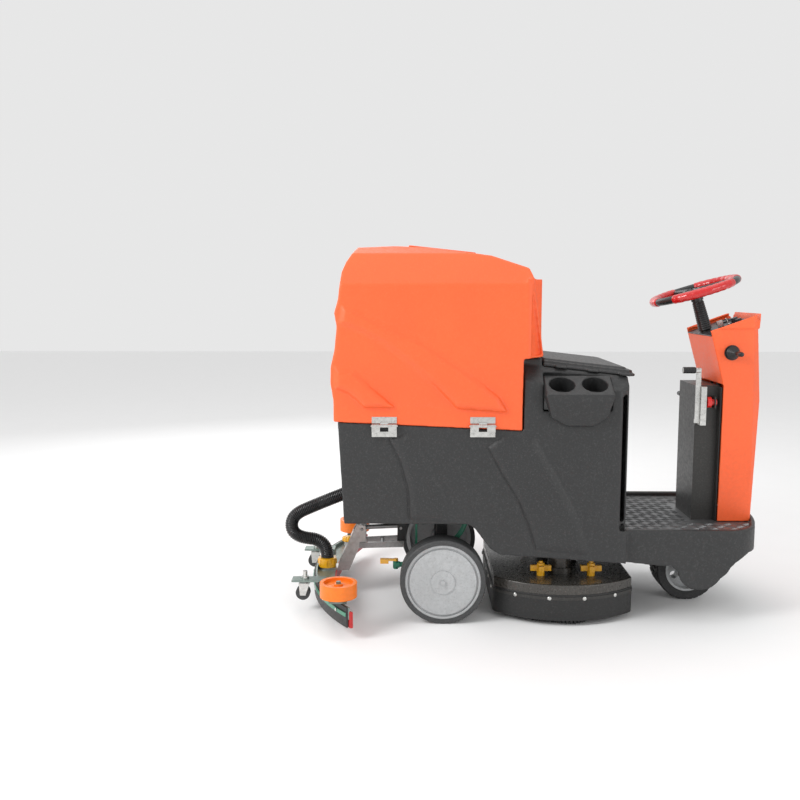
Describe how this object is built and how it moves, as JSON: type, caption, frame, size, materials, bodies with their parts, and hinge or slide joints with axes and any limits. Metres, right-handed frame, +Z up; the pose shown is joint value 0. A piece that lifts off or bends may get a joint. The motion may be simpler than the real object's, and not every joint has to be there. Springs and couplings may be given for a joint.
{
  "type": "ride-on floor scrubber",
  "caption": "Ride-on floor scrubber-drier with a tilting orange recovery tank, steering column, steered front drive wheel, disc-brush deck and rear suction squeegee.",
  "frame": {"origin": "on the floor under the middle of the machine, measured without the suction hose", "axes": "+X forward, +Y to the driver's left, +Z up"},
  "size_m": [1.752, 0.986, 1.3233],
  "materials": {
    "orange_pe": "rotomoulded satin",
    "dark_pe": "rotomoulded satin",
    "grey_lid": "satin",
    "black_paint": "powder coat",
    "grey_paint": "powder coat",
    "tread_plate": "rolled tread",
    "battery": "moulded",
    "panel": "satin",
    "zinc": "zinc plated",
    "black_plastic": "satin",
    "green_hose": "satin",
    "hose_rubber": "gloss corrugated",
    "red_grip": "gloss",
    "steel": "machined",
    "motor": "painted",
    "rim_black": "satin",
    "tyre": "rubber",
    "tyre_grey": "rubber",
    "wheel_grey": "satin",
    "deck_grey": "satin",
    "skirt": "satin",
    "yellow": "gloss",
    "bristle": "bristle",
    "squeegee_metal": "painted",
    "blade_black": "satin",
    "blade_red": "satin",
    "roller_orange": "satin",
    "tap_orange": "gloss",
    "link": "satin"
  },
  "bodies": {
    "chassis": {"chassis_frame": "black_paint", "body_shell": "dark_pe", "deck_plate": "tread_plate", "batteries": "battery", "column_frame": "grey_paint", "column_cover": "orange_pe", "instrument_panel": "panel", "lever_bracket": "zinc", "stalk_base": "black_plastic", "cup_holders": "dark_pe", "fixed_hinge_leaves": "zinc", "steering_chain": "steel", "drain_line": "green_hose", "hose_socket": "black_plastic", "suction_hose": "hose_rubber"},
    "steering_wheel": {"wheel_rim": "black_plastic", "wheel_grips": "red_grip"},
    "steering_shaft": {"lower_shaft": "steel"},
    "drive_unit": {"drive_fork": "black_paint", "drive_motor": "motor", "motor_conduit": "zinc"},
    "front_wheel": {"front_rim": "wheel_grey", "front_tyres": "tyre"},
    "rear_wheel_right": {"rear_rim_right": "wheel_grey", "rear_tyre_right": "tyre_grey"},
    "rear_wheel_left": {"rear_rim_left": "wheel_grey", "rear_tyre_left": "tyre_grey"},
    "tank": {"recovery_tank": "orange_pe", "tank_hinge_leaves": "zinc", "tank_handle": "black_plastic"},
    "hatch": {"tank_hatch": "grey_lid"},
    "lid": {"seat_lid": "dark_pe"},
    "deck_links_low": {"deck_lower_links": "zinc"},
    "deck_links_up": {"deck_upper_links": "zinc"},
    "brush_deck": {"deck_cover": "deck_grey", "deck_skirt": "skirt", "brush_motors": "black_paint", "wing_knobs": "yellow"},
    "brush_r": {"brush_right": "bristle"},
    "brush_l": {"brush_left": "bristle"},
    "squeegee_link_low": {"squeegee_lower_link": "link"},
    "squeegee_link_up": {"squeegee_upper_link": "link"},
    "squeegee_arm": {"squeegee_carrier": "link"},
    "squeegee": {"squeegee_head": "squeegee_metal", "squeegee_blades": "blade_black", "blade_front": "blade_red", "suction_cuff": "yellow"},
    "castor_r": {"castor_fork_right": "zinc"},
    "castor_l": {"castor_fork_left": "zinc"},
    "castor_wheel_r": {"castor_wheel_right": "tyre_grey"},
    "castor_wheel_l": {"castor_wheel_left": "tyre_grey"},
    "guard_roller_r": {"roller_right": "roller_orange"},
    "guard_roller_l": {"roller_left": "roller_orange"},
    "stalk": {"drive_stalk": "black_plastic"},
    "lever": {"squeegee_lever": "zinc"},
    "brush_handle": {"brush_lever": "black_plastic"},
    "ignition_key": {"key": "zinc"},
    "toggle_handle": {"toggle": "zinc"},
    "stop_button": {"e_stop": "red_grip"},
    "drain_tap": {"drain_handle": "tap_orange"}
  },
  "joints": [
    {"name": "steer", "type": "hinge", "parent": "chassis", "child": "drive_unit", "pos_m": [0.62, 0, 0.27], "axis": [0, 0, 1], "range_deg": [-45, 45]},
    {"name": "steering_shaft_turn", "type": "hinge", "parent": "chassis", "child": "steering_shaft", "pos_m": [0.728, 0, 0.5], "axis": [0, 0, 1], "range_deg": [-181, 181]},
    {"name": "steering_wheel_turn", "type": "hinge", "parent": "chassis", "child": "steering_wheel", "pos_m": [0.627, 0, 1.159], "axis": [-0.2924, 0, 0.9563], "range_deg": [-181, 181]},
    {"name": "front_wheel_spin", "type": "hinge", "parent": "drive_unit", "child": "front_wheel", "pos_m": [0.62, 0, 0.113], "axis": [0, 1, 0], "continuous": true},
    {"name": "rear_wheel_right_spin", "type": "hinge", "parent": "chassis", "child": "rear_wheel_right", "pos_m": [-0.307, -0.287, 0.15], "axis": [0, 1, 0], "continuous": true},
    {"name": "rear_wheel_left_spin", "type": "hinge", "parent": "chassis", "child": "rear_wheel_left", "pos_m": [-0.307, 0.287, 0.15], "axis": [0, 1, 0], "continuous": true},
    {"name": "tank_tilt", "type": "hinge", "parent": "chassis", "child": "tank", "pos_m": [-0.343, -0.3525, 0.704], "axis": [1, 0, 0], "range_deg": [0, 85]},
    {"name": "hatch_lift", "type": "hinge", "parent": "tank", "child": "hatch", "pos_m": [-0.42893, 0, 1.31231], "axis": [0, -1, 0], "range_deg": [0, 100]},
    {"name": "seat_lid_lift", "type": "hinge", "parent": "chassis", "child": "lid", "pos_m": [0.03446, -0.289, 0.90611], "axis": [0.9934, 0, -0.1149], "range_deg": [0, 95]},
    {"name": "deck_lift", "type": "hinge", "parent": "chassis", "child": "deck_links_low", "pos_m": [0.33, 0, 0.205], "axis": [0, 1, 0], "range_deg": [0, 15]},
    {"name": "deck_level", "type": "hinge", "parent": "deck_links_low", "child": "brush_deck", "pos_m": [0.18, 0, 0.175], "axis": [0, 1, 0], "range_deg": [-15.1, 0.1]},
    {"name": "deck_guide", "type": "hinge", "parent": "chassis", "child": "deck_links_up", "pos_m": [0.33, 0, 0.245], "axis": [0, 1, 0], "range_deg": [-0.1, 15.1]},
    {"name": "brush_right_spin", "type": "hinge", "parent": "brush_deck", "child": "brush_r", "pos_m": [0.122, -0.165, 0.06], "axis": [0, 0, 1], "continuous": true},
    {"name": "brush_left_spin", "type": "hinge", "parent": "brush_deck", "child": "brush_l", "pos_m": [0.122, 0.165, 0.06], "axis": [0, 0, 1], "continuous": true},
    {"name": "squeegee_lift", "type": "hinge", "parent": "chassis", "child": "squeegee_link_low", "pos_m": [-0.458, 0, 0.207], "axis": [0, 1, 0], "range_deg": [-17.2, 0]},
    {"name": "squeegee_level", "type": "hinge", "parent": "squeegee_link_low", "child": "squeegee_arm", "pos_m": [-0.606, 0, 0.2], "axis": [0, 1, 0], "range_deg": [-0.1, 17.3]},
    {"name": "squeegee_guide", "type": "hinge", "parent": "chassis", "child": "squeegee_link_up", "pos_m": [-0.458, 0, 0.267], "axis": [0, 1, 0], "range_deg": [-17.3, 0.1]},
    {"name": "squeegee_swing", "type": "hinge", "parent": "squeegee_arm", "child": "squeegee", "pos_m": [-0.741, 0, 0.104], "axis": [0, 0, 1], "range_deg": [-12, 12]},
    {"name": "castor_right_swivel", "type": "hinge", "parent": "squeegee", "child": "castor_r", "pos_m": [-0.803, -0.2, 0.11], "axis": [0, 0, 1], "continuous": true},
    {"name": "castor_right_spin", "type": "hinge", "parent": "castor_r", "child": "castor_wheel_r", "pos_m": [-0.811, -0.2, 0.0705], "axis": [0, 1, 0], "continuous": true},
    {"name": "guard_roller_right_spin", "type": "hinge", "parent": "squeegee", "child": "guard_roller_r", "pos_m": [-0.663, -0.43, 0.159], "axis": [0, 0, 1], "continuous": true},
    {"name": "castor_left_swivel", "type": "hinge", "parent": "squeegee", "child": "castor_l", "pos_m": [-0.803, 0.2, 0.11], "axis": [0, 0, 1], "continuous": true},
    {"name": "castor_left_spin", "type": "hinge", "parent": "castor_l", "child": "castor_wheel_l", "pos_m": [-0.811, 0.2, 0.0705], "axis": [0, 1, 0], "continuous": true},
    {"name": "guard_roller_left_spin", "type": "hinge", "parent": "squeegee", "child": "guard_roller_l", "pos_m": [-0.663, 0.43, 0.159], "axis": [0, 0, 1], "continuous": true},
    {"name": "drive_stalk_shift", "type": "hinge", "parent": "chassis", "child": "stalk", "pos_m": [0.722, -0.15, 0.94], "axis": [0, 0, 1], "range_deg": [-6, 6]},
    {"name": "squeegee_lever_pull", "type": "hinge", "parent": "chassis", "child": "lever", "pos_m": [0.631, -0.117, 0.69], "axis": [0, 1, 0], "range_deg": [-60, 0]},
    {"name": "brush_lever_slide", "type": "slide", "parent": "chassis", "child": "brush_handle", "axis": [0, 0, 1], "range_m": [-0.08, 0.02]},
    {"name": "key_turn", "type": "hinge", "parent": "chassis", "child": "ignition_key", "pos_m": [0.70754, -0.072, 1.02268], "axis": [-0.3355, 0, 0.9421], "range_deg": [0, 60]},
    {"name": "toggle_flick", "type": "hinge", "parent": "chassis", "child": "toggle_handle", "pos_m": [0.7389, -0.058, 1.03597], "axis": [0, 1, 0], "range_deg": [0, 22]},
    {"name": "stop_press", "type": "slide", "parent": "chassis", "child": "stop_button", "axis": [1, 0, 0], "range_m": [0, 0.005], "stiffness_N_per_m": 1500},
    {"name": "drain_tap_turn", "type": "hinge", "parent": "chassis", "child": "drain_tap", "pos_m": [-0.474, -0.2, 0.19], "axis": [0, 0, 1], "range_deg": [0, 90]}
  ],
  "couplings": [
    {"joint": "steering_shaft_turn", "follows": "steer", "ratio": 4},
    {"joint": "steering_wheel_turn", "follows": "steer", "ratio": 4},
    {"joint": "deck_level", "follows": "deck_lift", "ratio": -1},
    {"joint": "deck_guide", "follows": "deck_lift", "ratio": 1},
    {"joint": "squeegee_level", "follows": "squeegee_lift", "ratio": -1},
    {"joint": "squeegee_guide", "follows": "squeegee_lift", "ratio": 1}
  ]
}
